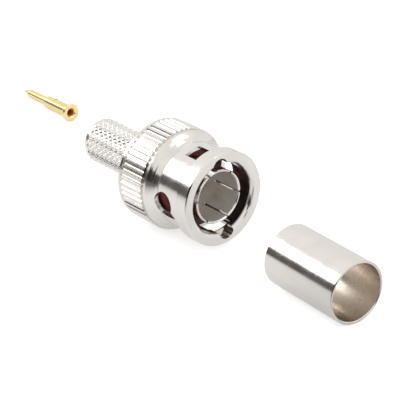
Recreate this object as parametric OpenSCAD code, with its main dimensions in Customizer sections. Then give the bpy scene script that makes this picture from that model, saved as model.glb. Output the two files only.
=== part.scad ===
// Crimp-type bayonet coaxial plug: coupling nut, slotted body, knurled crimp
// tail, and the loose centre contact and crimp ferrule that go with it.
// The plug's axis runs along X with the mating face towards +X.  All three
// loose groups lie on the plane z = 0.  Millimetres.

/* [Coupling nut] */
// Overall length of the coupling nut, mating face to rear face
nut_len = 13.74; // [12:0.01:16]
// Outside diameter of the front rim
rim_d = 13.2; // [12.6:0.05:14]
// Axial length of the front rim
rim_len = 2.07; // [1.6:0.01:2.5]
// Outside diameter of the neck between rim and grip ring
neck_d = 12.0; // [11.8:0.05:12.4]
// Where the neck starts to flare out into the grip ring, from the mating face
neck_end = 6.4; // [6.1:0.05:6.9]
// Where the grip ring's front shoulder edge stands, from the mating face
ring_front = 7.95; // [7.5:0.05:8.5]
// Outside diameter over the knurl of the grip ring
ring_d = 14.5; // [14:0.05:15.5]
// Bore of the front lip that guides the mating shell
lip_bore_d = 9.9; // [9.78:0.01:10.2]
// Bore behind the lip, where the mating studs travel
cavity_d = 11.1; // [11.08:0.01:11.2]

/* [Straight knurl] */
// Number of grooves round the grip ring
grip_grooves = 56; // [40:4:64]
// Distance from the shoulder edge to the front end of the knurl
grip_front = 0.72; // [0.5:0.01:1]
// Length of the knurled band
grip_len = 4.15; // [3.5:0.05:5]
// Depth of the knurl grooves
grip_depth = 0.24; // [0.1:0.01:0.4]
// Width of a knurl groove at its mouth
grip_groove_w = 0.42; // [0.2:0.01:0.5]

/* [Bayonet track] */
// Angle of the upper entry channel, from +Y towards +Z
entry_angle = 97; // [80:1:110]
// Diameter of the entry channels for the mating studs
entry_d = 2.46; // [2.1:0.01:2.8]
// Distance from the plug's axis to the centre of an entry channel
entry_offset = 4.74; // [4.3:0.01:4.9]
// Turn from an entry channel to its locking hole
track_turn = 90; // [80:0.5:100]
// Locking hole diameter
lock_d = 3.2; // [2.2:0.05:3.4]
// Locking hole centre, from the mating face
lock_x = 5.32; // [5:0.01:5.6]
// Rear edge of the entry window and of the track, from the mating face
window_rear = 4.93; // [4.6:0.01:5.3]
// Angle that the entry window spans round the neck
window_turn = 25; // [18:1:32]

/* [Slotted body] */
// Outside diameter of the slotted contact sleeve
sleeve_d = 7.64; // [7.4:0.01:8.1]
// Bore of the slotted contact sleeve
sleeve_bore_d = 6.9; // [6.6:0.01:7.2]
// How far the sleeve's front edge lies behind the mating face
sleeve_recess = 0.98; // [0.5:0.01:1.5]
// Number of slots in the sleeve
sleeve_slots = 6; // [4:2:8]
// Width of a sleeve slot
slot_w = 0.3; // [0.2:0.01:0.5]
// Length of a sleeve slot
slot_len = 4.9; // [4:0.1:6]
// Angle of the first sleeve slot, from +Y towards +Z
slot_angle = -4; // [-30:1:30]
// Diameter of the body's flange behind the gasket
flange_d = 9.7; // [9:0.05:9.8]
// Front face of the body's flange, from the mating face
flange_x = 7.9; // [7.5:0.05:8.3]
// Thickness of the body's flange
flange_t = 1.0; // [0.8:0.05:1.4]
// Diameter of the body's barrel behind the flange
barrel_d = 8.5; // [8.2:0.05:8.7]

/* [Crimp tail] */
// Distance from the mating face to the rear end of the tail
total_len = 26.5; // [24:0.1:30]
// Outside diameter over the diamond knurl
tail_d = 6.54; // [6:0.02:6.8]
// Bore for the cable's dielectric
tail_bore_d = 4.9; // [4.7:0.02:5]
// Number of diamonds round the tail
diamonds = 24; // [16:1:30]
// Length of one diamond along the axis
diamond_len = 1.05; // [0.8:0.02:1.6]
// Depth of the diamond knurl
diamond_depth = 0.2; // [0.1:0.01:0.24]

/* [Insulator and gasket] */
// Front face of the insulator, from the mating face
insulator_x = 7.6; // [7:0.1:9]
// Hole for the centre contact's barrel
insulator_bore_d = 2.1; // [2.06:0.01:2.3]
// Thickness of the gasket
gasket_t = 0.95; // [0.6:0.05:1.2]

/* [Wave washer] */
// Free height of the wave washer in the plug
wave_h = 1.4; // [1.2:0.05:1.8]
// Thickness of its sheet
wave_t = 0.25; // [0.15:0.01:0.3]
// Number of waves
waves = 3; // [3:1:4]

/* [Centre contact] */
// Overall length of the centre contact
pin_len = 14.5; // [12:0.1:18]
// Diameter of the contact tip
pin_tip_d = 1.35; // [1.32:0.01:1.37]
// Diameter of the crimp barrel
pin_barrel_d = 2.0; // [1.9:0.01:2.04]
// Diameter of the collar at the crimp end
pin_collar_d = 2.8; // [2.5:0.05:3]
// Bore for the cable's centre conductor
pin_bore_d = 1.1; // [0.9:0.01:1.2]
// Depth of that bore
pin_bore_len = 5.6; // [4.5:0.1:6]
// Diameter of the inspection hole
pin_hole_d = 0.64; // [0.5:0.01:0.9]
// Distance from the crimp end to the inspection hole
pin_hole_x = 4.9; // [3.5:0.1:5.2]

/* [Crimp ferrule] */
// Outside diameter of the ferrule
ferrule_d = 8.45; // [7.9:0.05:9]
// Wall thickness of the ferrule
ferrule_wall = 0.4; // [0.3:0.05:0.6]
// Length of the ferrule
ferrule_len = 13; // [11:0.1:16]

/* [Layout] */
// Gap along the axis from the mating face to the ferrule's rear end
ferrule_gap = 13.2; // [8:0.1:20]
// Sideways offset of the ferrule's rear end
ferrule_off = -0.2; // [-4:0.1:4]
// Turn of the ferrule on the surface, from the plug's axis
ferrule_yaw = -4; // [-15:0.5:15]
// Gap along the axis from the tail's end to the centre contact's collar
pin_gap = 22.9; // [15:0.1:35]
// Sideways offset of the centre contact's collar
pin_off = 11.1; // [8:0.1:20]
// Turn of the centre contact on the surface, from the plug's axis
pin_yaw = -5; // [-15:0.5:15]

/* [Hidden] */
$fn = 96;
eps = 0.01;
// running clearance, radial
run_clear = 0.08;
// seating gap between parts that touch face to face
seat = 0.02;

// nut, measured along X from the mating face; rearwards is negative
rim_r = rim_d / 2;
neck_r = neck_d / 2;
ring_r = ring_d / 2;
lip_r = lip_bore_d / 2;
cavity_r = cavity_d / 2;
grip_a = ring_front + grip_front;
grip_b = grip_a + grip_len;
shoulder_r = ring_r - 0.3;
flare = ring_front - neck_end;
mouth_r = 0.56;
mouth_len = 0.6;
lead_len = 0.75;

// parts inside the nut, from front to rear
flange_r = flange_d / 2;
flange_b = flange_x + flange_t;
barrel_r = barrel_d / 2;
nut_lip_r = barrel_r + run_clear;
washer_t = 0.8;
travel = 0.8;
wave_a = flange_b + seat;
wave_b = wave_a + wave_h;
washer_a = wave_b + seat;
washer_b = washer_a + washer_t;
nut_lip_a = washer_b + seat;
nut_lip_t = 0.8;
nut_lip_b = nut_lip_a + nut_lip_t;
disc_a = nut_lip_b + seat;
disc_b = nut_len - 0.12;
pocket_r = ring_r - 1.4;
disc_r = pocket_r - run_clear;
barrel_b = disc_b - 0.55;

// sleeve
sleeve_r = sleeve_d / 2;
sleeve_bore_r = sleeve_bore_d / 2;
sleeve_root_r = sleeve_r - 0.12;
seat_r = barrel_r - 0.55;

// tail
tail_r = tail_d / 2;
tail_bore_r = tail_bore_d / 2;
tail_low_r = tail_r - diamond_depth;
knurl_a = nut_len + 0.55;
end_band = 0.6;
knurl_rows = 2 * floor((total_len - end_band - knurl_a) / diamond_len);
knurl_b = knurl_a + knurl_rows * diamond_len / 2;

// layout of the loose parts; every one rests on z = 0
ferrule_r = ferrule_d / 2;
pin_collar_r = pin_collar_d / 2;
pin_barrel_r = pin_barrel_d / 2;
pin_tip_r = pin_tip_d / 2;
pin_barrel_len = pin_len * 0.49;
pin_shoulder = 0.45;
pin_point = pin_len * 0.145;
pin_tilt = atan(min((pin_collar_r - pin_barrel_r) / (pin_barrel_len - 0.53),
                    (pin_collar_r - pin_tip_r) / (pin_len - pin_point - 0.38)));
pin_x = -total_len - pin_gap;
x_high = ferrule_gap + ferrule_len * cos(ferrule_yaw) + ferrule_r * abs(sin(ferrule_yaw));
x_low = pin_x - pin_len * cos(pin_yaw) * cos(pin_tilt);
y_high = pin_off - (pin_len - pin_point) * sin(pin_yaw) * cos(pin_tilt) + pin_tip_r;
y_low = -ring_r;
origin_x = -(x_high + x_low) / 2;
origin_y = -(y_high + y_low) / 2;

// colours
nickel = [0.84, 0.83, 0.81];
gold = [0.95, 0.82, 0.5];
steel = [0.72, 0.72, 0.72];
red_rubber = [0.55, 0.16, 0.15];
white_plastic = [0.93, 0.93, 0.9];

// turns a [radius, x] outline about the X axis
module turned(outline) {
    rotate([0, 90, 0]) rotate_extrude() polygon(outline);
}

// a rod along X between two positions
module rod(r, xa, xb) {
    translate([min(xa, xb), 0, 0]) rotate([0, 90, 0]) cylinder(r = r, h = abs(xb - xa));
}

// places the plug's own frame in the layout
module on_plug() {
    translate([origin_x, origin_y, ring_r]) children();
}

// a point at radius r, angle p from +Y towards +Z, position x
function polar(x, r, p) = [x, r * cos(p), r * sin(p)];

// a block that follows the circumference: stations are [angle, x rear, x front]
module track(stations, ri, ro) {
    n = len(stations);
    pts = [for (s = stations) each [polar(s[1], ri, s[0]), polar(s[1], ro, s[0]),
                                    polar(s[2], ro, s[0]), polar(s[2], ri, s[0])]];
    sides = [for (i = [0 : n - 2]) for (k = [0 : 3])
             let (a = 4 * i + k, b = 4 * i + (k + 1) % 4)
             each [[a, a + 4, b], [b, a + 4, b + 4]]];
    polyhedron(points = pts, faces = concat([[0, 1, 2, 3]], sides,
               [[4 * n - 1, 4 * n - 2, 4 * n - 3, 4 * n - 4]]));
}

// front edge of the stud's path at t = 0 (entry) to t = 1 (locking hole)
function ramp(t) = -(lead_len + 0.5) - (lock_x - 0.42 * lock_d - lead_len - 0.5)
                   * max(0, (t - 0.14) / 0.86);
function path_angle(t) = entry_angle + 21 - t * (track_turn + 21);

// a cutter for the neck wall: an outline of [position, angle] corners,
// square to the wall at the angle mid
module wall_cutter(corners, mid) {
    rotate([mid - 90, 0, 0]) translate([0, 0, lip_r - 0.6]) linear_extrude(neck_r - lip_r + 1.6)
        polygon([for (c = corners) [-c[0], -neck_r * sin(c[1] - mid)]]);
}

module bayonet_cut() {
    steps = 18;
    ts = [for (i = [0 : steps]) i / steps];
    lock_angle = entry_angle - track_turn;
    // pocket behind the lip, bounded in front by the ramp
    intersection() {
        rod(cavity_r - 0.02, -window_rear - 1, 0);
        track([for (t = ts) [path_angle(t), -window_rear - 0.5, ramp(t)]], lip_r - 0.6, cavity_r + 1);
    }
    wall_cutter([[rim_len + 0.04, entry_angle + 5.5 - window_turn / 2],
                 [rim_len + 0.04, entry_angle + 5.5 + window_turn / 2],
                 [window_rear, entry_angle + 5.5 + window_turn / 2],
                 [window_rear, entry_angle + 5.5 - window_turn / 2]], entry_angle + 5.5);
    // locking hole
    rotate([lock_angle - 90, 0, 0]) translate([-lock_x, 0, lip_r - 0.6])
        cylinder(d = lock_d, h = neck_r - lip_r + 1.6, $fn = 48);
    // run-in that draws the locking hole out towards the entry
    wall_cutter([[lock_x - 1.25, lock_angle + 9.5], [lock_x - 1.5, lock_angle + 13],
                 [lock_x - 1.87, lock_angle + 17.9], [lock_x - 1.3, lock_angle + 19.4],
                 [lock_x - 0.7, lock_angle + 20.1], [lock_x - 0.1, lock_angle + 20],
                 [lock_x + 0.4, lock_angle + 18.9], [lock_x + 0.85, lock_angle + 16.3],
                 [lock_x + 1.2, lock_angle + 12.5], [lock_x + 1.42, lock_angle + 7.5],
                 [lock_x, lock_angle]], lock_angle + 10);
    // entry channel
    translate(polar(0, entry_offset, entry_angle)) rod(entry_d / 2, -lead_len - 1.2, 0.2);
}

// cross-section of the knurled band
function grip_points() = [for (i = [0 : grip_grooves - 1])
    let (pitch = 360 / grip_grooves, g = grip_groove_w / ring_r * 180 / PI / 2, c = i * pitch)
    each [ring_r * [cos(c - pitch / 2 + g), sin(c - pitch / 2 + g)],
          ring_r * [cos(c), sin(c)],
          ring_r * [cos(c + pitch / 2 - g), sin(c + pitch / 2 - g)],
          (ring_r - grip_depth) * [cos(c + pitch / 2), sin(c + pitch / 2)]]];

module coupling_nut() {
    core_r = ring_r - grip_depth - 0.06;
    color(nickel) on_plug() difference() {
        union() {
            turned([
                [lip_r + mouth_r, 0], [rim_r - 0.14, 0], [rim_r, -0.14], [rim_r, -rim_len + 0.07],
                [rim_r - 0.07, -rim_len], [neck_r, -rim_len], [neck_r, -neck_end],
                [neck_r + 0.1, -neck_end - 0.05], [neck_r + 0.2, -neck_end - 0.30 * flare],
                [neck_r + 0.38, -neck_end - 0.55 * flare], [neck_r + 0.46, -neck_end - 0.60 * flare],
                [neck_r + 0.66, -neck_end - 0.80 * flare], [shoulder_r - 0.06, -ring_front + 0.03],
                [shoulder_r, -ring_front - 0.03], [shoulder_r + 0.06, -grip_a + 0.34],
                [core_r, -grip_a + 0.26], [core_r, -grip_a + 0.08],
                [core_r, -grip_a - 0.1], [core_r, -grip_b - 0.06], [ring_r - 0.06, -grip_b - 0.2],
                [ring_r - 0.04, -nut_len + 0.3], [ring_r - 0.3, -nut_len],
                [pocket_r, -nut_len], [pocket_r, -nut_lip_b], [nut_lip_r, -nut_lip_b],
                [nut_lip_r, -nut_lip_a], [cavity_r, -nut_lip_a],
                [cavity_r, -window_rear - 0.4], [lip_r, -window_rear - 0.2],
                each [for (a = [0 : 18 : 72])
                      [lip_r + mouth_r * (1 - cos(a)), -mouth_len * (1 - sin(a))]]]);
            translate([-grip_b, 0, 0]) rotate([90, 0, 90])
                linear_extrude(grip_len) difference() {
                    polygon(grip_points());
                    circle(r = core_r - 0.4);
                }
        }
        for (s = [0, 180]) rotate([s, 0, 0]) bayonet_cut();
    }
}

module slotted_body() {
    tip = -sleeve_recess;
    color(nickel) on_plug() difference() {
        turned([
            [sleeve_bore_r + 0.12, tip], [sleeve_r - 0.1, tip], [sleeve_r, tip - 0.12],
            [sleeve_r, tip - 1.4], [sleeve_root_r, tip - 1.9], [sleeve_root_r, -flange_x],
            [flange_r, -flange_x], [flange_r, -flange_b], [barrel_r, -flange_b],
            [barrel_r, -barrel_b], [seat_r, -barrel_b], [seat_r, -insulator_x], [sleeve_bore_r, -insulator_x],
            [sleeve_bore_r, tip - 0.15]]);
        for (k = [0 : sleeve_slots / 2 - 1])
            rotate([slot_angle + k * 360 / sleeve_slots, 0, 0])
                translate([tip - slot_len, -sleeve_r - 1, -slot_w / 2])
                    cube([slot_len + 1, sleeve_d + 2, slot_w]);
    }
}

// Closed solid with a diamond-knurled skin: low points where the helical
// grooves cross, and a flat-topped diamond between every four of them.
module diamond_sleeve(xa, pitch, rows, n, r_low, r_top, flat) {
    half = 180 / n;
    low = [for (i = [0 : rows]) for (j = [0 : n - 1])
           polar(-xa - i * pitch / 2, r_low, (2 * j + i % 2) * half)];
    tops = [for (i = [1 : rows - 1]) for (j = [0 : n - 1])
            let (c = (2 * j + 1 + i % 2) * half, x = -xa - i * pitch / 2,
                 dx = flat * pitch / 2, dp = flat * half)
            each [polar(x + dx, r_top, c), polar(x, r_top, c + dp),
                  polar(x - dx, r_top, c), polar(x, r_top, c - dp)]];
    base = len(low);
    function lo(i, j) = i * n + (j + n) % n;
    skin = [for (i = [1 : rows - 1]) for (j = [0 : n - 1])
            let (t = base + 4 * ((i - 1) * n + j), s = i % 2,
                 fr = lo(i - 1, j + s), rr = lo(i + 1, j + s), hi = lo(i, j + 1), lw = lo(i, j))
            each [[t, t + 1, t + 2], [t, t + 2, t + 3],
                  [fr, hi, t + 1], [fr, t + 1, t], [hi, rr, t + 2], [hi, t + 2, t + 1],
                  [rr, lw, t + 3], [rr, t + 3, t + 2], [lw, fr, t], [lw, t, t + 3]]];
    front = [for (j = [0 : n - 1]) [lo(0, j), lo(0, j + 1), lo(1, j)]];
    rear = [for (j = [0 : n - 1]) [lo(rows, j), lo(rows - 1, j), lo(rows, j + 1)]];
    caps = [[for (j = [n - 1 : -1 : 0]) lo(0, j)], [for (j = [0 : n - 1]) lo(rows, j)]];
    polyhedron(points = concat(low, tops), faces = concat(skin, front, rear, caps));
}

module crimp_tail() {
    web = 0.5;
    color(nickel) on_plug() difference() {
        union() {
            diamond_sleeve(knurl_a, diamond_len, knurl_rows, diamonds, tail_low_r, tail_r, 0.5);
            rod(tail_low_r + 0.02, -disc_b + 0.1, -knurl_a - 0.1);
            turned([[0, -knurl_b + 0.3], [tail_low_r + 0.02, -knurl_b + 0.3], [tail_r - 0.05, -knurl_b + 0.1],
                    [tail_r - 0.05, -total_len + 0.3], [tail_r - 0.08, -total_len + 0.16],
                    [tail_r - 0.16, -total_len + 0.06], [tail_r - 0.28, -total_len], [0, -total_len]]);
            turned([[0, -disc_a], [disc_r, -disc_a], [disc_r, -disc_b + 0.15],
                    [disc_r - 0.15, -disc_b], [0, -disc_b]]);
        }
        rod(tail_bore_r, -total_len - 1, 0);
        rod(barrel_r + eps, -barrel_b - seat, 0);
    }
}

module insulator() {
    rear = barrel_b + seat - 0.05;
    color(white_plastic) on_plug() difference() {
        rod(seat_r - eps, -rear, -insulator_x - seat);
        rod(insulator_bore_d / 2, -rear - 1, 0);
        rod(pin_collar_r + 0.1, -rear - 1, -rear + 0.6);
    }
}

module gasket() {
    a = -flange_x + gasket_t;
    ri = sleeve_root_r + 0.03;
    ro = flange_r - 0.05;
    color(red_rubber) on_plug()
        turned([[ri, -flange_x + seat], [ro - 0.1, -flange_x + seat], [ro, -flange_x + 0.15],
                [ro, a - 0.2], [ro - 0.06, a - 0.06], [ro - 0.2, a], [ri + 0.2, a],
                [ri + 0.06, a - 0.06], [ri, a - 0.2]]);
}

module wave_washer() {
    ri = barrel_r + 0.15;
    ro = cavity_r - 0.35;
    n = 36;
    amp = (wave_h - wave_t) / 2;
    mid = -(wave_a + wave_b) / 2;
    pts = [for (i = [0 : n - 1]) let (p = i * 360 / n, x = mid + amp * cos(waves * p))
           each [polar(x - wave_t / 2, ri, p), polar(x - wave_t / 2, ro, p),
                 polar(x + wave_t / 2, ro, p), polar(x + wave_t / 2, ri, p)]];
    faces = [for (i = [0 : n - 1]) for (k = [0 : 3])
             let (a = 4 * i + k, b = 4 * i + (k + 1) % 4,
                  c = (a + 4) % (4 * n), d = (b + 4) % (4 * n))
             each [[a, c, b], [b, c, d]]];
    color(steel) on_plug() polyhedron(points = pts, faces = faces);
}

module thrust_washer() {
    color(steel) on_plug() difference() {
        rod(cavity_r - 0.08, -washer_b, -washer_a);
        rod(nut_lip_r, -washer_b - 1, 0);
    }
}

module centre_contact() {
    tip = pin_len - pin_point;
    color(gold)
        translate([origin_x + pin_x, origin_y + pin_off, pin_collar_r * cos(pin_tilt) + 0.38 * sin(pin_tilt)])
        rotate([0, 0, pin_yaw]) rotate([0, -pin_tilt, 0]) difference() {
            turned([
                [0, 0], [pin_collar_r - 0.12, 0], [pin_collar_r, -0.1], [pin_collar_r, -0.38],
                [pin_barrel_r + 0.12, -0.72], [pin_barrel_r, -1.1], [pin_barrel_r, -pin_barrel_len + 0.15],
                [pin_barrel_r - 0.1, -pin_barrel_len], [pin_tip_r + 0.03, -pin_barrel_len - pin_shoulder],
                [pin_tip_r, -pin_barrel_len - pin_shoulder - 0.05], [pin_tip_r, -tip],
                [0.2, -pin_len + 0.08], [0.08, -pin_len], [0, -pin_len]]);
            turned([[0, 1], [pin_bore_d / 2 + 0.22, 1], [pin_bore_d / 2 + 0.22, 0],
                    [pin_bore_d / 2, -0.25], [pin_bore_d / 2, -pin_bore_len],
                    [0, -pin_bore_len - 0.3]]);
            rotate([-20, 0, 0]) translate([-pin_hole_x, 0, 0]) cylinder(d = pin_hole_d, h = 3, $fn = 32);
        }
}

module crimp_ferrule() {
    ri = ferrule_r - ferrule_wall;
    color(nickel)
        translate([origin_x + ferrule_gap, origin_y + ferrule_off, ferrule_r])
        rotate([0, 0, ferrule_yaw])
        turned([
            [ri + 0.1, 0], [ferrule_r - 0.06, 0], [ferrule_r, 0.06], [ferrule_r, ferrule_len - 0.1],
            [ferrule_r - 0.1, ferrule_len], [ri + 0.1, ferrule_len], [ri, ferrule_len - 0.1], [ri, 0.1]]);
}

coupling_nut();
slotted_body();
crimp_tail();
insulator();
gasket();
wave_washer();
thrust_washer();
centre_contact();
crimp_ferrule();
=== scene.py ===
# %% [markdown]
# # A bayonet coaxial plug with its loose centre contact and crimp ferrule
# The imported model is the frame. Every piece below sits where that frame says,
# so the script starts by loading it.

import math

import bmesh
import bpy
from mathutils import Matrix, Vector


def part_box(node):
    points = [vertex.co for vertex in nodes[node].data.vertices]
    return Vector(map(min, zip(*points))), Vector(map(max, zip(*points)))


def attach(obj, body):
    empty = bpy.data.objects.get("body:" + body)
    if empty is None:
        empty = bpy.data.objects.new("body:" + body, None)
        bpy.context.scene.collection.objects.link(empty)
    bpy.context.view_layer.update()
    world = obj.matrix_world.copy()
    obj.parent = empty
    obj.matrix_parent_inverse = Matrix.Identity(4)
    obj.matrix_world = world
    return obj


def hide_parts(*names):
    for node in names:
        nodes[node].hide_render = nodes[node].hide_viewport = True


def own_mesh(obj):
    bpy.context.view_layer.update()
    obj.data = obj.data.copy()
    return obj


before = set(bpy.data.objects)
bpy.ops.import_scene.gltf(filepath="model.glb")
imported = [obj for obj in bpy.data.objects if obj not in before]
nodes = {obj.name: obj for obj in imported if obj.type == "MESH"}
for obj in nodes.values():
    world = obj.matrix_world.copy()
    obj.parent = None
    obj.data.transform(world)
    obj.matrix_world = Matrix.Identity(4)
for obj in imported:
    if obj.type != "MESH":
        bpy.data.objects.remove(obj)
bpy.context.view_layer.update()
MM = 0.001
TAU = math.tau
print("nodes:", ", ".join(sorted(nodes)))

# %% [markdown]
# The plug lies along the row's X axis. Its mating rim is the front end of the
# coupling nut, so that node's box gives the rim's centre. The ferrule and the
# contact lie beside the plug, each turned a little. Their directions are known
# from how they lie, and their places come from their boxes.

# %% Axis of the plug
nut_low, nut_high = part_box("coupling_nut")
axis_y = (nut_low.y + nut_high.y) / 2
axis_z = (nut_low.z + nut_high.z) / 2
rim = Vector((nut_high.x, axis_y, axis_z))
plug_axis = Vector((1, 0, 0))
print("rim centre, mm:", [round(v / MM, 3) for v in rim])

# %% Axes of the two loose pieces
FERRULE_YAW = math.radians(-4)
ferrule_low, ferrule_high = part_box("crimp_ferrule")
ferrule_centre = (ferrule_low + ferrule_high) / 2
ferrule_axis = Vector((math.cos(FERRULE_YAW), math.sin(FERRULE_YAW), 0))

# the contact also tilts, because its collar is wider than the rest of it
CONTACT_YAW, CONTACT_TILT = math.radians(-5), math.radians(3.4524)
COLLAR_RADIUS = 1.4 * MM
contact_axis = Vector((
    math.cos(CONTACT_TILT) * math.cos(CONTACT_YAW),
    math.cos(CONTACT_TILT) * math.sin(CONTACT_YAW), math.sin(CONTACT_TILT)))
# the centre of the collar's end face, which lies on the contact's own axis
contact_low, contact_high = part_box("centre_contact")
reach = [COLLAR_RADIUS * math.sqrt(1 - part ** 2) for part in contact_axis]
contact_centre = Vector((contact_high.x - reach[0], contact_low.y + reach[1],
                         contact_high.z - reach[2]))
print("contact's end face, mm:", [round(v / MM, 3) for v in contact_centre])

# %% [markdown]
# ## Camera
# A long lens from the front right and above, a product shot's usual view of a
# connector. It stands about 23 cm away, so the ferrule and the contact are
# seen with almost no perspective.

# %% Camera
AZIMUTH, ELEVATION = math.radians(49.11), math.radians(24.72)
DISTANCE = 229 * MM
AIM_LEFT, AIM_DOWN = 3.121296 * MM, 0.11853 * MM
FOCAL_MM, SENSOR_MM = 156.5, 36
NEAR, FAR = 0.01, 20
back = Vector((math.sin(AZIMUTH) * math.cos(ELEVATION),
               -math.cos(AZIMUTH) * math.cos(ELEVATION), math.sin(ELEVATION)))
right = Vector((math.cos(AZIMUTH), math.sin(AZIMUTH), 0))
up = back.cross(right)
camera_data = bpy.data.cameras.new("camera")
camera_data.lens, camera_data.sensor_width = FOCAL_MM, SENSOR_MM
camera_data.clip_start, camera_data.clip_end = NEAR, FAR
camera = bpy.data.objects.new("camera", camera_data)
camera.location = rim + back * DISTANCE
aim = rim - right * AIM_LEFT - up * AIM_DOWN
camera.rotation_euler = (camera.location - aim).to_track_quat("Z", "Y").to_euler()
bpy.context.scene.collection.objects.link(camera)
bpy.context.scene.camera = camera
print("camera at, mm:", [round(v / MM, 1) for v in camera.location])

# %% [markdown]
# ## Node trees
# One function adds a node, sets its options and fills its inputs. An input
# takes a socket, a node, which gives its first output, or a plain value.
# The kinds and sums used most often get short names.

# %% Helpers for node trees
MATH, VECTOR_MATH = "ShaderNodeMath", "ShaderNodeVectorMath"
MAP, NOISE, RAMP = "ShaderNodeMapRange", "ShaderNodeTexNoise", "ShaderNodeValToRGB"
ADD, SUBTRACT, MULTIPLY, DIVIDE, MULTIPLY_ADD, ABSOLUTE, DOT = (
    {"operation": word} for word in (
        "ADD", "SUBTRACT", "MULTIPLY", "DIVIDE", "MULTIPLY_ADD", "ABSOLUTE",
        "DOT_PRODUCT"))


def linear(code):
    """An sRGB hex colour such as 'd8d4ca' as the linear RGBA that sockets take."""
    parts = [int(code[i:i + 2], 16) / 255 for i in (0, 2, 4)]
    return [c / 12.92 if c <= 0.04045 else ((c + 0.055) / 1.055) ** 2.4
            for c in parts] + [1]


def put(tree, kind, options=None, inputs=(), stops=()):
    """Adds one node of this kind to the tree and returns it. options are its
    settings. inputs are given by name, or as a list in the node's own order.
    stops are a colour ramp's (place, hex colour) pairs."""
    made = tree.nodes.new(kind)
    for name, value in (options or {}).items():
        setattr(made, name, value)
    for key, value in inputs.items() if isinstance(inputs, dict) else enumerate(inputs):
        if isinstance(value, bpy.types.Node):
            value = value.outputs[0]
        if isinstance(value, bpy.types.NodeSocket):
            tree.links.new(value, made.inputs[key])
        else:
            made.inputs[key].default_value = value
    for _ in stops[2:]:
        made.color_ramp.elements.new(0.5)
    for place, (position, code) in enumerate(stops):
        made.color_ramp.elements[place].position = position
        made.color_ramp.elements[place].color = linear(code)
    return made


def new_material(name):
    """An empty material with its output node, ready for a shader."""
    material = bpy.data.materials.new(name)
    material.use_nodes = True
    material.node_tree.nodes.clear()
    output = put(material.node_tree, "ShaderNodeOutputMaterial")
    print("material:", name)
    return material, material.node_tree, output


def lathe_coordinates(tree, centre, axis):
    """Distance along a turned piece's axis, and out from it, in millimetres."""
    spot = put(tree, "ShaderNodeTexCoord").outputs["Object"]
    offset = put(tree, VECTOR_MATH, SUBTRACT, (spot, centre))
    in_mm = put(tree, VECTOR_MATH, {"operation": "SCALE"},
                {0: offset, "Scale": 1 / MM}).outputs["Vector"]
    along = put(tree, VECTOR_MATH, DOT, (in_mm, axis)).outputs["Value"]
    on_axis = put(tree, VECTOR_MATH, {"operation": "SCALE"}, {0: axis, "Scale": along})
    outward = put(tree, VECTOR_MATH, {"operation": "DISTANCE"},
                  (in_mm, on_axis)).outputs["Value"]
    return along, outward, in_mm


print("helpers: linear, put, new_material, lathe_coordinates")

# %% [markdown]
# ## Nickel plate on turned brass
# The nut, body, crimp tail and ferrule are turned from brass bar and plated
# with bright nickel: a warm pale grey metal. Turning leaves fine rings round
# the axis, and plating softens them. They show as comb-like ends where a
# bright reflection meets a dark one. An image of brushed metal would need
# unwrapping, so a noise that depends only on the distance along and out from
# the axis is used instead: it makes rings on every face of a turned piece.
# Handling adds duller patches, and edges that rub are polished bright.

# %% Roughness of the plate
LOW, HIGH = 0.3, 0.7    # nearly all of a noise's values lie between these
RINGS_PER_MM = 8.0      # about three times coarser than the tool really leaves
GRAIN_PER_MM = 9.0      # ten times coarser than real nickel's
PATCHES_PER_MM, PATCH_START, PATCH_GLOSS, PATCH_DULL = 0.35, 0.35, 0.02, 0.05
SCRATCHES_PER_MM, HAIR_MM, HAIR_DULL = 0.8, 0.02, 0.06
RING_DULL = 0.03
RUB_CORE_MM, RUB_EDGE_MM, RUB_SHINE = 0.05, 0.2, 0.55


def plate_gloss(tree, rings, patches, in_mm, dull):
    """Roughness of bright plate, with rings, duller patches and hair scratches."""
    scratches = put(tree, "ShaderNodeTexVoronoi", {"feature": "DISTANCE_TO_EDGE"}, {
        "Vector": in_mm, "Scale": SCRATCHES_PER_MM, "Randomness": 1.0})
    ring_gloss = put(tree, MAP, None, (rings, LOW, HIGH, -RING_DULL, RING_DULL))
    patch_gloss = put(tree, MAP, None, (
        patches, PATCH_START, HIGH, dull - PATCH_GLOSS, dull + PATCH_DULL))
    hair = put(tree, MAP, None, (scratches, 0.0, HAIR_MM, HAIR_DULL, 0.0))
    return put(tree, MATH, ADD, (put(tree, MATH, ADD, (ring_gloss, patch_gloss)), hair))


def rubbed_bright(tree, gloss, along, place):
    """The same roughness, but glossier at one place along the axis, in mm."""
    gap = put(tree, MATH, ABSOLUTE, (put(tree, MATH, SUBTRACT, (along, place)),))
    shine = put(tree, MAP, None, (gap, RUB_CORE_MM, RUB_EDGE_MM, RUB_SHINE, 1.0))
    return put(tree, MATH, MULTIPLY, (gloss, shine))


print("plate: rings every", 1 / RINGS_PER_MM, "mm")

# %% [markdown]
# Two stretches of a piece differ from the rest. A grip has pressed grooves, so
# it has no turning rings, and the plate bunches up in the grooves and leaves
# them satin. Inside a bore the plate is thin and the brass shows through, and
# the bore's own tints and matt share also paint the light and shade seen in
# there, with a painted coppery glow in the contact.

# %% Masks for the grip and the bore
GRIP_BLEND_MM, GRIP_SATIN = 0.1, 0.07
BORE_BLEND_OUT_MM, BORE_BLEND_ALONG_MM, BORE_DULL = 0.04, 0.1, 0.16


def off_the_grip(tree, along, start, stop):
    """1 away from the grip's stretch of the axis, and 0 on it."""
    middle, half_length = (start + stop) / 2, (stop - start) / 2
    gap = put(tree, MATH, ABSOLUTE, (put(tree, MATH, SUBTRACT, (along, middle)),))
    return put(tree, MAP, None, (gap, half_length - GRIP_BLEND_MM, half_length, 0, 1))


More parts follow.
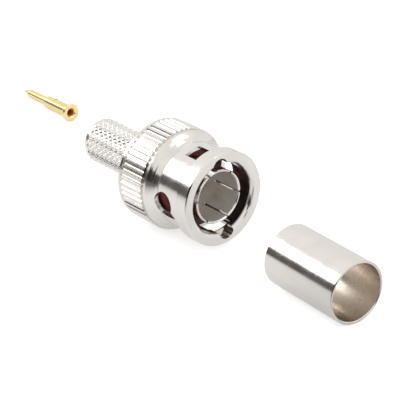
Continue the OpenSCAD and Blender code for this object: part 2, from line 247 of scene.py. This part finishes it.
def inside_the_bore(tree, along, outward, radius, start, stop):
    """1 within this radius between start and stop, and 0 elsewhere."""
    inside = put(tree, MAP, None,
                 (outward, radius, radius + BORE_BLEND_OUT_MM, 1.0, 0.0))
    for edge, before, after in ((start, 0.0, 1.0), (stop, 1.0, 0.0)):
        step = put(tree, MAP, None,
                   (along, edge, edge + BORE_BLEND_ALONG_MM, before, after))
        inside = put(tree, MATH, MULTIPLY, (inside, step))
    return inside


print("masks: off_the_grip, inside_the_bore")

# %% [markdown]
# One function makes the plate for every turned piece. All its distances are in
# millimetres, and places along the axis count from the piece's centre.

# %% The plate itself
GRAIN_SHARE, RELIEF = 0.25, 0.35
print("plate relief: grain at", GRAIN_SHARE, "of the rings")


def plated(name, centre, axis, tint, dull, ring_depth, rub=(), grip=None, bore=None):
    """Bright plate with turning rings round the axis. dull is its roughness.
    rub lists places where an edge is rubbed bright. grip is a stretch with
    pressed grooves. bore says where the inside is, its tints, and its share of
    matt colour."""
    material, tree, output = new_material(name)
    along, outward, in_mm = lathe_coordinates(tree, centre, axis)
    lane = put(tree, "ShaderNodeCombineXYZ", None, (along, outward))
    rings = put(tree, NOISE, {"noise_dimensions": "2D"}, {
        "Vector": lane, "Scale": RINGS_PER_MM, "Detail": 2.0, "Roughness": 0.6})
    patches = put(tree, NOISE, None, {
        "Vector": in_mm, "Scale": PATCHES_PER_MM, "Detail": 4.0, "Roughness": 0.55})
    grain = put(tree, NOISE, None, {
        "Vector": in_mm, "Scale": GRAIN_PER_MM, "Detail": 2.0})
    colour = put(tree, RAMP, None, (patches,), [(LOW, tint[0]), (HIGH, tint[1])])
    gloss = plate_gloss(tree, rings, patches, in_mm, dull)
    for place in rub:
        gloss = rubbed_bright(tree, gloss, along, place)
    ring_height, metal = rings, 1.0
    if grip:
        plain = off_the_grip(tree, along, *grip)
        ring_height = put(tree, MATH, MULTIPLY, (rings, plain))
        satin = put(tree, MAP, None, (plain, 0, 1, GRIP_SATIN, 0))
        gloss = put(tree, MATH, ADD, (gloss, satin))
    if bore:
        inside = inside_the_bore(tree, along, outward, bore["radius"],
                                 bore["start"], bore["stop"])
        # painted light: the bore's tints stand partly for thin plate and partly for the
        # shade and bounced light inside it
        bore_tint_and_painted_light = put(tree, RAMP, None, (patches,),
                   [(LOW, bore["tints"][0]), (HIGH, bore["tints"][1])])
        colour = put(tree, "ShaderNodeMix", {"data_type": "RGBA"}, {
            "Factor": inside, "A": colour, "B": bore_tint_and_painted_light}).outputs["Result"]
        gloss = put(tree, MATH, MULTIPLY_ADD, (inside, BORE_DULL, gloss))
        if bore["matt"]:
            metal = put(tree, MATH, MULTIPLY_ADD, (inside, -bore["matt"], 1.0))
    height = put(tree, MATH, MULTIPLY_ADD, (grain, GRAIN_SHARE, ring_height))
    relief = put(tree, "ShaderNodeBump", None, {
        "Height": height, "Strength": RELIEF, "Distance": ring_depth * MM})
    shader = put(tree, "ShaderNodeBsdfPrincipled", None, {
        "Base Color": colour, "Metallic": metal, "Roughness": gloss, "Normal": relief})
    tree.links.new(shader.outputs[0], output.inputs["Surface"])
    return material


# %% Nickel on the four kinds of piece
NICKEL = ("dfdbd7", "e6e3e0")
WHOLE = 20.0            # further than any piece reaches from its centre
RIM_EDGE, NECK_EDGE = 0.0, -2.07
# the bore tints below are partly thin plate and partly painted shade and bounced light
# inside each bore
nickel_nut = plated(
    "bright_nickel_plate_on_turned_brass", rim, plug_axis, NICKEL, dull=0.13,
    ring_depth=0.016, rub=(RIM_EDGE, NECK_EDGE), grip=(-12.95, -8.75), bore={
        "radius": 5.62, "tints": ("b3adaa", "c0bbb8"), "start": -13.0, "stop": -5.2,
        "matt": 0.6})
nickel_body = plated(
    "bright_nickel_plate_on_milled_sleeve", rim, plug_axis, ("e2deda", "e9e6e2"),
    dull=0.17, ring_depth=0.014, bore={
        "radius": 3.46, "tints": ("dcd7d1", "e6e2de"), "start": -WHOLE, "stop": 1.0,
        "matt": 0.3})
nickel_tail = plated(
    "satin_nickel_plate_on_rolled_knurl", rim, plug_axis, ("e3e0dd", "eceae7"),
    dull=0.17, ring_depth=0.005)
nickel_ferrule = plated(
    "bright_nickel_plate_on_drawn_tube", ferrule_centre, ferrule_axis, NICKEL,
    dull=0.12, ring_depth=0.010, bore={
        "radius": 3.85, "tints": ("cfc5b9", "dbd2c8"), "start": -WHOLE, "stop": WHOLE,
        "matt": 0.0})

# %% [markdown]
# ## Gold plate on the centre contact
# The contact is turned brass under a thin layer of gold, which keeps it from
# tarnishing. Gold takes its colour from the metal itself, so the tint sits in
# the base colour with full metallic. It is as smooth as the nickel, and its
# turning rings are shallower. Down the crimp bore the gold is thin, and a
# coppery tint with a large matt share paints the warm light bounced about in
# the hole.

# %% Gold plate
# painted light: the bore's coppery tint and matt share paint the glow of light bounced
# inside the crimp bore
gold = plated(
    "gold_plate_on_turned_brass", contact_centre, contact_axis, ("f1d995", "f8e6b0"),
    dull=0.15, ring_depth=0.008, bore={
        "radius": 0.6, "tints": ("d8905a", "e6a470"), "start": -5.8, "stop": 1.0,
        "matt": 0.85})

# %% [markdown]
# ## PTFE, silicone and spring steel
# The insulator is a PTFE bush machined from white rod. PTFE is waxy: light
# goes a little way in, which a small subsurface value gives, and the cutting
# tool leaves rings, drawn here about twice as coarse as they are.

# %% PTFE
ptfe, tree, output = new_material("machined_ptfe")
along, outward, in_mm = lathe_coordinates(tree, rim, plug_axis)
lane = put(tree, "ShaderNodeCombineXYZ", None, (along, outward))
rings = put(tree, NOISE, {"noise_dimensions": "2D"}, {
    "Vector": lane, "Scale": 6.0, "Detail": 1.0})
cloud = put(tree, NOISE, None, {"Vector": in_mm, "Scale": 0.6, "Detail": 3.0})
relief = put(tree, "ShaderNodeBump", None, {
    "Height": rings, "Strength": 0.4, "Distance": 0.02 * MM})
shader = put(tree, "ShaderNodeBsdfPrincipled", None, {
    "Base Color": put(tree, RAMP, None, (cloud,), [(LOW, "e2dfd8"), (HIGH, "efede8")]),
    "Roughness": put(tree, MAP, None, (rings, LOW, HIGH, 0.38, 0.5)),
    "IOR": 1.35, "Subsurface Weight": 0.15, "Subsurface Scale": 0.4 * MM,
    "Normal": relief})
tree.links.new(shader.outputs[0], output.inputs["Surface"])

# %% [markdown]
# The gasket is moulded silicone in brick red. Its mould leaves a fine
# orange-peel skin of about 0.15 mm. It is satin and holds dust, which lies in
# soft patches and makes it paler and rougher.

# %% Silicone
silicone, tree, output = new_material("moulded_brick_red_silicone")
in_mm = lathe_coordinates(tree, rim, plug_axis)[2]
peel = put(tree, NOISE, None, {"Vector": in_mm, "Scale": 6.5, "Detail": 3.0})
dust = put(tree, NOISE, None, {"Vector": in_mm, "Scale": 1.2, "Detail": 5.0})
relief = put(tree, "ShaderNodeBump", None, {
    "Height": peel, "Strength": 0.5, "Distance": 0.03 * MM})
shader = put(tree, "ShaderNodeBsdfPrincipled", None, {
    "Base Color": put(tree, RAMP, None, (dust,), [(0.35, "8f4440"), (0.7, "a05a54")]),
    "Roughness": put(tree, MAP, None, (dust, 0.35, 0.7, 0.4, 0.6)),
    "IOR": 1.41, "Normal": relief})
tree.links.new(shader.outputs[0], output.inputs["Surface"])

# %% [markdown]
# The wave washer is rolled spring strip. Its grain runs round the ring, as the
# turning rings do, so the same function makes it, darker and less polished.

# %% Spring steel
steel = plated("rolled_spring_steel_strip", rim, plug_axis, ("a5a39f", "b8b6b1"),
               dull=0.26, ring_depth=0.012)

# %% [markdown]
# ## The finish of each solid that stays
# Seven solids keep their exact shape, and only take a material.

# %% Assign the finishes
FINISHES = {
    "coupling_nut": nickel_nut, "slotted_body": nickel_body,
    "thrust_washer": nickel_body, "crimp_ferrule": nickel_ferrule,
    "centre_contact": gold, "insulator": ptfe, "gasket": silicone,
}
for name, material in FINISHES.items():
    mesh = nodes[name].data
    mesh.materials.clear()
    mesh.materials.append(material)
print("finished:", len(FINISHES), "solids")

# %% [markdown]
# ## Helpers for the two pieces that are made anew
# The crimp tail and the wave washer are grown by Geometry Nodes. Each tree has
# named inputs, runs once on an empty mesh, and leaves a plain mesh behind.

# %% Declare, grow, weld and shade


def declare(tree, inputs):
    """Gives a geometry tree its (name, kind, value) inputs and its one output.
    Returns each input's identifier by name."""
    identifiers = {}
    for name, kind, value in inputs:
        socket = tree.interface.new_socket(
            name, in_out="INPUT", socket_type="NodeSocket" + kind)
        if value is not None:
            socket.default_value = value
        identifiers[name] = socket.identifier
    tree.interface.new_socket(
        "Mesh", in_out="OUTPUT", socket_type="NodeSocketGeometry")
    return identifiers


def grow(tree, identifiers, values):
    """Runs a geometry tree with these values and returns the mesh it makes."""
    holder = bpy.data.objects.new("holder", bpy.data.meshes.new("holder"))
    bpy.context.scene.collection.objects.link(holder)
    maker = holder.modifiers.new("maker", "NODES")
    maker.node_group = tree
    for name, value in values.items():
        maker[identifiers[name]] = value
    bpy.context.view_layer.update()
    mesh = bpy.data.meshes.new_from_object(
        holder.evaluated_get(bpy.context.evaluated_depsgraph_get()))
    holder.modifiers.remove(maker)
    bpy.data.objects.remove(holder)
    return mesh


def weld(shape, mesh, gap):
    """Joins a bmesh's points closer than the gap, turns all faces outward and
    writes it to the mesh. Returns how many edges are open."""
    bmesh.ops.remove_doubles(shape, verts=shape.verts, dist=gap)
    bmesh.ops.recalc_face_normals(shape, faces=shape.faces)
    open_edges = sum(1 for edge in shape.edges if not edge.is_manifold)
    shape.to_mesh(mesh)
    shape.free()
    return open_edges


def shade(mesh, material, sharp_degrees):
    """One finish, smooth but for the edges sharper than this angle."""
    mesh.materials.clear()
    mesh.materials.append(material)
    for polygon in mesh.polygons:
        polygon.use_smooth = True
        polygon.material_index = 0
    mesh.set_sharp_from_angle(angle=math.radians(sharp_degrees))


print("helpers: declare, grow, weld, shade")

# %% [markdown]
# ## The rolled knurl of the crimp tail
# The cable's braid is squeezed on to the tail, so the tail is covered with a
# diamond knurl. On the real piece two hardened wheels press crossing spiral
# grooves into the brass and leave small flat-topped diamonds. The diamonds
# could be copied one by one with instances, but their flanks join, and a copy
# would leave seams. The shape follows one rule instead: how deep the surface
# lies depends only on the angle and the distance along the axis. So Geometry
# Nodes lay a fine flat grid, roll it into a tube, and sink it by that rule.

# %% A tree of geometry nodes for the knurl
knurl_tree = bpy.data.node_groups.new("rolled_diamond_knurl", "GeometryNodeTree")
knurl_inputs = declare(knurl_tree, (
    ("Length", "Float", 0.011), ("Crest Radius", "Float", 0.00327),
    ("Groove Depth", "Float", 0.0002), ("Band Radius", "Float", 0.0032),
    ("Root Radius", "Float", 0.003), ("Diamonds Round", "Int", 24),
    ("Diamond Length", "Float", 0.001), ("Points Along", "Int", 40),
    ("Points Round", "Int", 40), ("Centre", "Vector", None),
    ("Finish", "Material", None)))
given = put(knurl_tree, "NodeGroupInput").outputs
grid = put(knurl_tree, "GeometryNodeMeshGrid", None, {
    "Size X": given["Length"], "Size Y": TAU,
    "Vertices X": given["Points Along"], "Vertices Y": given["Points Round"]})
flat = put(knurl_tree, "ShaderNodeSeparateXYZ", None,
           (put(knurl_tree, "GeometryNodeInputPosition"),)).outputs
x, angle = flat["X"], flat["Y"]
turns = put(knurl_tree, MATH, MULTIPLY, (
    put(knurl_tree, MATH, DIVIDE, (angle, TAU)), given["Diamonds Round"]))
steps = put(knurl_tree, MATH, DIVIDE, (x, given["Diamond Length"]))
print("knurl inputs:", ", ".join(knurl_inputs))

# %% [markdown]
# Each family of grooves is a saw-tooth of the angle plus or minus the distance
# along. Its height is 0 in the groove and 1 on the flat. A diamond is as high
# as the lower of the two families there.

# %% The rule of the two crossing grooves
FLANK_SHARE = 0.6       # of the way from one groove to the next, the rest is flat
START = 100.5           # keeps the phase above zero, with a crossing in the middle
families = []
for direction in (ADD, SUBTRACT):
    spot = put(knurl_tree, MATH, ADD, (
        put(knurl_tree, MATH, direction, (turns, steps)), START))
    phase = put(knurl_tree, MATH, {"operation": "FRACT"}, (spot,))
    from_middle = put(knurl_tree, MATH, ABSOLUTE, (
        put(knurl_tree, MATH, SUBTRACT, (phase, 0.5)),))
    tooth = put(knurl_tree, MATH, MULTIPLY, (from_middle, 2.0))
    families.append(put(knurl_tree, MAP, None, (tooth, 0.0, FLANK_SHARE, 0.0, 1.0)))
height = put(knurl_tree, MATH, {"operation": "MINIMUM"}, families)
groove_floor = put(knurl_tree, MATH, SUBTRACT, (
    given["Crest Radius"], given["Groove Depth"]))
rise = put(knurl_tree, MATH, MULTIPLY, (height, given["Groove Depth"]))
radius = put(knurl_tree, MATH, ADD, (groove_floor, rise))
print("knurl tree so far:", len(knurl_tree.nodes), "nodes")

# %% [markdown]
# At the nut the knurl runs out into the plain root of the tail, and at the
# free end into a plain band, both within about half a millimetre. Then the
# grid is rolled into a tube.

# %% Run-out at both ends, then roll the grid
RUN_OUT_FRONT, RUN_OUT_REAR = 0.4 * MM, 0.35 * MM
half_length = put(knurl_tree, MATH, MULTIPLY, (given["Length"], 0.5))
for side, run_out, plain in (
        (SUBTRACT, RUN_OUT_FRONT, given["Root Radius"]),
        (ADD, RUN_OUT_REAR, given["Band Radius"])):
    to_end = put(knurl_tree, MATH, side, (half_length, x))
    share = put(knurl_tree, MAP, {"interpolation_type": "SMOOTHSTEP"},
                (to_end, 0.0, run_out, 1.0, 0.0))
    step = put(knurl_tree, MATH, SUBTRACT, (plain, radius))
    radius = put(knurl_tree, MATH, ADD, (
        radius, put(knurl_tree, MATH, MULTIPLY, (share, step))))
across = [put(knurl_tree, MATH, MULTIPLY, (
    radius, put(knurl_tree, MATH, {"operation": wave}, (angle,))))
    for wave in ("COSINE", "SINE")]
tube = put(knurl_tree, "ShaderNodeCombineXYZ", None, (x, *across))
place = put(knurl_tree, VECTOR_MATH, ADD, (tube, given["Centre"]))
rolled = put(knurl_tree, "GeometryNodeSetPosition", None, {
    "Geometry": grid.outputs["Mesh"], "Position": place})
real = put(knurl_tree, "GeometryNodeRealizeInstances", None, (rolled,))
dressed = put(knurl_tree, "GeometryNodeSetMaterial", None, {
    "Geometry": real, "Material": given["Finish"]})
put(knurl_tree, "NodeGroupOutput", None, (dressed,))
print("knurl tree:", len(knurl_tree.nodes), "nodes,", len(knurl_inputs), "inputs")

# %% [markdown]
# ## The crimp tail
# The tail's other faces are plain turned ones, so they are a profile of
# (distance along, radius) pairs spun round the axis. The knurl's ends meet the
# profile's ends point for point, so both join into one closed skin. It stands
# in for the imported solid, whose knurl is made of larger flat faces.

# %% Sizes of the crimp tail, read from the frame
tail_low, tail_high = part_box("crimp_tail")
body_low, body_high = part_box("slotted_body")
disc_front, disc_radius = tail_high.x, (tail_high.z - tail_low.z) / 2
DISC_RECESS, FLANGE_STEP = 0.12 * MM, 0.6 * MM
disc_rear = nut_low.x + DISC_RECESS
barrel_radius = (body_high.z - body_low.z) / 2 - FLANGE_STEP
TAIL_BORE = 2.45 * MM
CREST, BAND, ROOT = 3.27 * MM, 3.22 * MM, 3.07 * MM
FRONT_GAP, END_BAND = 0.35 * MM, 0.62 * MM
knurl_front = nut_low.x - FRONT_GAP
knurl_rear = tail_low.x + END_BAND
DIAMONDS_ROUND, DIAMOND_LENGTH, GROOVE_DEPTH = 24, 1.05 * MM, 0.2 * MM
POINTS_PER_DIAMOND, ROWS_PER_DIAMOND = 13, 14
POINTS_ROUND = DIAMONDS_ROUND * POINTS_PER_DIAMOND
POINTS_ALONG = round(
    (knurl_front - knurl_rear) / (DIAMOND_LENGTH / ROWS_PER_DIAMOND)) + 1
print("knurl, mm long:", round((knurl_front - knurl_rear) / MM, 2),
      "points:", POINTS_ALONG, "by", POINTS_ROUND)

# %% Grow the knurl
knurl_mesh = grow(knurl_tree, knurl_inputs, {
    "Length": knurl_front - knurl_rear, "Crest Radius": CREST,
    "Groove Depth": GROOVE_DEPTH, "Band Radius": BAND, "Root Radius": ROOT,
    "Diamonds Round": DIAMONDS_ROUND, "Diamond Length": DIAMOND_LENGTH,
    "Points Along": POINTS_ALONG, "Points Round": POINTS_ROUND + 1,
    "Centre": ((knurl_front + knurl_rear) / 2, axis_y, axis_z),
    "Finish": nickel_tail})
print("knurl faces:", len(knurl_mesh.polygons))

# %% [markdown]
# The profile starts where the knurl ends, turns the rounded free end, runs up
# the bore and along the seat that is pressed on the barrel, and comes back
# over the disc to the knurl's other end. Small flats break its edges.

# %% The plain profile
end = tail_low.x
barrel_end, seat_radius = body_low.x - 0.02 * MM, barrel_radius + 0.01 * MM
PRESS_EDGE, DISC_EDGE = 0.02 * MM, 0.15 * MM
NECK_FILLET, BORE_EDGE, MID_BORE = 0.04 * MM, 0.05 * MM, 6 * MM
profile = [
    (knurl_rear, BAND), (end + 0.3 * MM, BAND),
    # the rounded free end
    (end + 0.19 * MM, BAND - 0.02 * MM), (end + 0.09 * MM, BAND - 0.07 * MM),
    (end + 0.03 * MM, BAND - 0.14 * MM), (end, BAND - 0.24 * MM),
    # the bore and the seat on the barrel
    (end, TAIL_BORE + BORE_EDGE), (end + BORE_EDGE, TAIL_BORE),
    (end + MID_BORE, TAIL_BORE), (barrel_end, TAIL_BORE),
    (barrel_end, seat_radius), (disc_front, seat_radius),
    # the disc and the root of the knurl
    (disc_front, disc_radius - PRESS_EDGE), (disc_front - PRESS_EDGE, disc_radius),
    (disc_rear + DISC_EDGE, disc_radius), (disc_rear, disc_radius - DISC_EDGE),
    (disc_rear, ROOT + NECK_FILLET), (disc_rear - NECK_FILLET, ROOT),
    (knurl_front, ROOT)]
print("profile:", len(profile), "points")

# %% Spin the profile and join it to the knurl
WELD_GAP, SHARP_DEGREES = 0.002 * MM, 32
shape = bmesh.new()
shape.from_mesh(knurl_mesh)
angles = [TAU * (i / POINTS_ROUND - 0.5) for i in range(POINTS_ROUND)]
rows = [[shape.verts.new((x, axis_y + radius * math.cos(angle),
                          axis_z + radius * math.sin(angle))) for angle in angles]
        for x, radius in profile]
for row, following in zip(rows, rows[1:]):
    for i in range(POINTS_ROUND):
        j = (i + 1) % POINTS_ROUND
        shape.faces.new((row[i], row[j], following[j], following[i]))
tail_mesh = bpy.data.meshes.new("knurled_crimp_tail")
open_edges = weld(shape, tail_mesh, WELD_GAP)
bpy.data.meshes.remove(knurl_mesh)
print("crimp tail:", len(tail_mesh.polygons), "faces,", open_edges, "open edges")

# %% [markdown]
# Faces within 32 degrees of each other are shaded as one smooth surface, so
# the turned faces look round and their edges stay crisp.

# %% Put the crimp tail in its place
shade(tail_mesh, nickel_tail, SHARP_DEGREES)
crimp_tail = bpy.data.objects.new("knurled_crimp_tail", tail_mesh)
bpy.context.scene.collection.objects.link(crimp_tail)
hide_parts("crimp_tail")
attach(crimp_tail, "plug_body")
print("piece:", crimp_tail.name)

# %% [markdown]
# ## The wave washer
# This spring ring pushes the nut back, so that it locks on the studs. It is a
# flat strip of steel bent into a ring with three waves. A strip that follows a
# path is one sweep: Geometry Nodes draw a circle, lift it by a cosine of the
# angle, and sweep a small rectangle along it.

# %% A tree of geometry nodes for the wave washer
wave_tree = bpy.data.node_groups.new("wavy_spring_ring", "GeometryNodeTree")
wave_inputs = declare(wave_tree, (
    ("Middle Radius", "Float", 0.0048), ("Strip Width", "Float", 0.0008),
    ("Strip Thickness", "Float", 0.00025), ("Wave Height", "Float", 0.0006),
    ("Waves", "Int", 3), ("Points Round", "Int", 96), ("Centre", "Vector", None),
    ("Finish", "Material", None)))
given = put(wave_tree, "NodeGroupInput").outputs
circle = put(wave_tree, "GeometryNodeCurvePrimitiveCircle", {"mode": "RADIUS"}, {
    "Resolution": given["Points Round"], "Radius": given["Middle Radius"]})
ring = put(wave_tree, "ShaderNodeSeparateXYZ", None,
           (put(wave_tree, "GeometryNodeInputPosition"),)).outputs
angle = put(wave_tree, MATH, {"operation": "ARCTAN2"}, (ring["Y"], ring["X"]))
wave = put(wave_tree, MATH, {"operation": "COSINE"}, (
    put(wave_tree, MATH, MULTIPLY, (angle, given["Waves"])),))
lifted = put(wave_tree, MATH, MULTIPLY, (wave, given["Wave Height"]))
wavy_path = put(wave_tree, "GeometryNodeSetPosition", None, {
    "Geometry": circle, "Offset": put(wave_tree, "ShaderNodeCombineXYZ", None,
                                      {"Z": lifted})})
print("wave inputs:", ", ".join(wave_inputs))

# %% Sweep the strip and stand the ring on the plug's axis
upright = put(wave_tree, "GeometryNodeSetCurveNormal", {"mode": "Z_UP"},
              {"Curve": wavy_path})
strip = put(wave_tree, "GeometryNodeCurvePrimitiveQuadrilateral", {
    "mode": "RECTANGLE"}, {
        "Width": given["Strip Width"], "Height": given["Strip Thickness"]})
swept = put(wave_tree, "GeometryNodeCurveToMesh", None, {
    "Curve": upright, "Profile Curve": strip})
here = put(wave_tree, "ShaderNodeSeparateXYZ", None,
           (put(wave_tree, "GeometryNodeInputPosition"),)).outputs
on_axis = put(wave_tree, "ShaderNodeCombineXYZ", None,
              (here["Z"], here["X"], here["Y"]))
placed = put(wave_tree, "GeometryNodeSetPosition", None, {
    "Geometry": swept,
    "Position": put(wave_tree, VECTOR_MATH, ADD, (on_axis, given["Centre"]))})
real = put(wave_tree, "GeometryNodeRealizeInstances", None, (placed,))
dressed = put(wave_tree, "GeometryNodeSetMaterial", None, {
    "Geometry": real, "Material": given["Finish"]})
put(wave_tree, "NodeGroupOutput", None, (dressed,))
print("wave tree:", len(wave_tree.nodes), "nodes,", len(wave_inputs), "inputs")

# %% Grow the wave washer
STRIP_THICKNESS, BARREL_PLAY, END_PLAY = 0.25 * MM, 0.15 * MM, 0.002 * MM
WAVES, WAVE_POINTS = 3, 96
WAVE_WELD_GAP, WAVE_SHARP_DEGREES = 0.0005 * MM, 40
wave_low, wave_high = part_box("wave_washer")
outer = (wave_high.z - wave_low.z) / 2
inner = barrel_radius + BARREL_PLAY
wave_mesh = grow(wave_tree, wave_inputs, {
    "Middle Radius": (outer + inner) / 2, "Strip Width": outer - inner,
    "Strip Thickness": STRIP_THICKNESS,
    "Wave Height": (wave_high.x - wave_low.x - STRIP_THICKNESS) / 2 - END_PLAY,
    "Waves": WAVES, "Points Round": WAVE_POINTS,
    "Centre": ((wave_low.x + wave_high.x) / 2, axis_y, axis_z), "Finish": steel})
shape = bmesh.new()
shape.from_mesh(wave_mesh)
open_edges = weld(shape, wave_mesh, WAVE_WELD_GAP)
wave_mesh.name = "wavy_spring"
shade(wave_mesh, steel, WAVE_SHARP_DEGREES)
print("wave washer:", len(wave_mesh.polygons), "faces,", open_edges, "open edges")

# %% Put the wave washer in its place
wave_spring = bpy.data.objects.new("wavy_spring", wave_mesh)
bpy.context.scene.collection.objects.link(wave_spring)
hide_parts("wave_washer")
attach(wave_spring, "plug_body")
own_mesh(wave_spring)
print("piece:", wave_spring.name)

# %% [markdown]
# ## Floor
# The plug and its loose parts lie on a wide sheet of white paper. Metal shows
# what is round it, so in reflections the sheet carries a painted pool of light:
# a glow that is bright close to the parts and greyer further off, and painted
# shade that darkens it towards the viewer's side. Light Path tells a shader
# which kind of ray has met it. For the camera the sheet is lifted evenly to
# white and still takes the soft shadows of the parts.

# %% Floor
FLOOR_SIZE, FLOOR_DROP = 6.0, 0.02 * MM
half = FLOOR_SIZE / 2
floor_mesh = bpy.data.meshes.new("floor")
floor_mesh.from_pydata([(x, y, -FLOOR_DROP) for x, y in (
    (-half, -half), (half, -half), (half, half), (-half, half))], [], [(0, 1, 2, 3)])
floor = bpy.data.objects.new("floor", floor_mesh)
bpy.context.scene.collection.objects.link(floor)
print("floor, m:", FLOOR_SIZE)

# %% White paper, with painted light in its reflections
PAINTED_POOL_NEAR, PAINTED_POOL_FAR = 0.02, 0.16          # m from the middle of the row
GLOW_NEAR, GLOW_FAR = 0.46, 0.12        # how brightly it shows in the metal
FRONT_WAY = (0.65, -0.76, 0.0)          # towards the viewer's side
FADE_NEAR, FADE_FAR, FADE_LEFT = 0.025, 0.07, 0.2
CAMERA_GLOW = 0.55
floor_paint, tree, output = new_material("white_paper_with_painted_glow")
path = put(tree, "ShaderNodeLightPath").outputs
spot = put(tree, "ShaderNodeTexCoord").outputs["Object"]
distance = put(tree, VECTOR_MATH, {"operation": "LENGTH"}, (spot,)).outputs["Value"]
mirrored = put(tree, MATH, {"operation": "MAXIMUM"}, (
    path["Is Glossy Ray"], path["Is Transmission Ray"]))
# painted light: reflected rays see a painted pool of light near the parts, dimmed by
# painted shade towards the viewer's side
painted_pool_glow = put(tree, MAP, None, (distance, PAINTED_POOL_NEAR, PAINTED_POOL_FAR, GLOW_NEAR, GLOW_FAR))
forward = put(tree, VECTOR_MATH, DOT, (spot, FRONT_WAY)).outputs["Value"]
painted_front_shade = put(tree, MAP, None, (forward, FADE_NEAR, FADE_FAR, 1.0, FADE_LEFT))
painted_glow_with_shade = put(tree, MATH, MULTIPLY, (painted_pool_glow, painted_front_shade))
painted_reflection_glow = put(tree, MATH, MULTIPLY, (mirrored, painted_glow_with_shade))
camera_lift = put(tree, MATH, MULTIPLY, (path["Is Camera Ray"], CAMERA_GLOW))
paper_grain = put(tree, NOISE, None, {"Vector": spot, "Scale": 900.0, "Detail": 2.0})
# painted shade: reflected rays see the paper darker towards the viewer's side
paper_and_painted_shade = put(tree, "ShaderNodeMix", {"data_type": "RGBA"}, {
    "Factor": mirrored,
    "A": put(tree, RAMP, None, (paper_grain,), [(LOW, "e6e6e6"), (HIGH, "e9e9e9")]),
    "B": put(tree, RAMP, None, (painted_front_shade,),
             [(FADE_LEFT, "606060"), (1.0, "bcbcbc")])})
matte = put(tree, "ShaderNodeBsdfDiffuse", None, {"Color": paper_and_painted_shade.outputs["Result"]})
lift = put(tree, MATH, ADD, (painted_reflection_glow, camera_lift))
glow = put(tree, "ShaderNodeEmission", None, {"Color": (1, 1, 1, 1), "Strength": lift})
both = put(tree, "ShaderNodeAddShader", None, (matte, glow))
tree.links.new(both.outputs[0], output.inputs["Surface"])
floor_mesh.materials.append(floor_paint)

# %% [markdown]
# ## The room
# Bright plate only looks like metal when it has something dark to show. The
# room is white, with one long grey card standing low along the front: it gives
# the dark stripe along every round piece. The world makes both by direction,
# so no card stands in the scene. The camera itself sees plain white.

# %% World
ROOM_STRENGTH = 1.05
CARD_STARTS, CARD_FULL = 0.2, 0.5       # how far a direction points to the front
CARD_TOP_LEFT, CARD_TOP_RIGHT, CARD_SOFT = 0.305, 0.4, 0.03
world = bpy.data.worlds.new("studio")
bpy.context.scene.world = world
world.use_nodes = True
tree = world.node_tree
tree.nodes.clear()
output = put(tree, "ShaderNodeOutputWorld")
way = put(tree, "ShaderNodeTexCoord").outputs["Generated"]
parts = put(tree, "ShaderNodeSeparateXYZ", None, (way,)).outputs
sideways, height = parts["X"], parts["Z"]
room = put(tree, RAMP, None, (height,), [
    (0.0, "f1f0ee"), (0.5, "f5f4f2"), (0.75, "fffdf9"), (1.0, "f4f3f2")])
front = put(tree, VECTOR_MATH, DOT, (way, (0.0, -1.0, 0.0))).outputs["Value"]
card_side = put(tree, MAP, None, (front, CARD_STARTS, CARD_FULL, 0.0, 1.0))
card_edge = put(tree, MAP, None, (sideways, -0.5, 0.5, CARD_TOP_LEFT, CARD_TOP_RIGHT))
above = put(tree, MATH, SUBTRACT, (height, card_edge))
card_top = put(tree, MAP, None, (above, -CARD_SOFT, CARD_SOFT, 1.0, 0.0))
card = put(tree, MATH, MULTIPLY, (card_side, card_top))
card_spread = put(tree, MAP, None, (sideways, -0.6, 0.6, 0.0, 1.0))
card_grey = put(tree, RAMP, None, (card_spread,), [(0.0, "5e5a56"), (1.0, "2a2725")])
around = put(tree, "ShaderNodeMix", {"data_type": "RGBA"}, {
    "Factor": card, "A": room, "B": card_grey})
seen_by_camera = put(tree, "ShaderNodeLightPath").outputs["Is Camera Ray"]
soft = put(tree, "ShaderNodeBackground", None, {
    "Color": around.outputs["Result"], "Strength": ROOM_STRENGTH})
plain_white = put(tree, "ShaderNodeBackground", None, {
    "Color": (1, 1, 1, 1), "Strength": 1.0})
mix = put(tree, "ShaderNodeMixShader", None, (seen_by_camera, soft, plain_white))
tree.links.new(mix.outputs[0], output.inputs["Surface"])
print("world:", len(tree.nodes), "nodes")

# %% [markdown]
# ## Lamps
# One small softbox stands on the left and makes the clean white stripe above
# the dark one. A second, large and weak, hangs overhead for the floor.

# %% Lamps
LAMP_TARGET = Vector((0, 0, 0.007))


def softbox(name, direction, distance, width, tall, power):
    """A rectangular area lamp that looks at the plug from a direction."""
    data = bpy.data.lights.new(name, "AREA")
    data.shape, data.size, data.size_y, data.energy = "RECTANGLE", width, tall, power
    lamp = bpy.data.objects.new(name, data)
    way = Vector(direction).normalized()
    lamp.location = LAMP_TARGET + way * distance
    lamp.rotation_euler = way.to_track_quat("Z", "Y").to_euler()
    bpy.context.scene.collection.objects.link(lamp)
    print("lamp:", name, power, "W")


softbox("left_softbox", (-0.72, -0.46, 0.52), distance=0.6, width=0.4, tall=0.21,
        power=0.9)
softbox("top_softbox", (0.2, 0.3, 1.0), distance=0.7, width=0.4, tall=0.4, power=0.5)

# %% [markdown]
# ## View
# Standard keeps a written colour as it is. The dressed model has to stay
# inside the frame's own box.

# %% View settings
bpy.context.scene.view_settings.view_transform = "Standard"
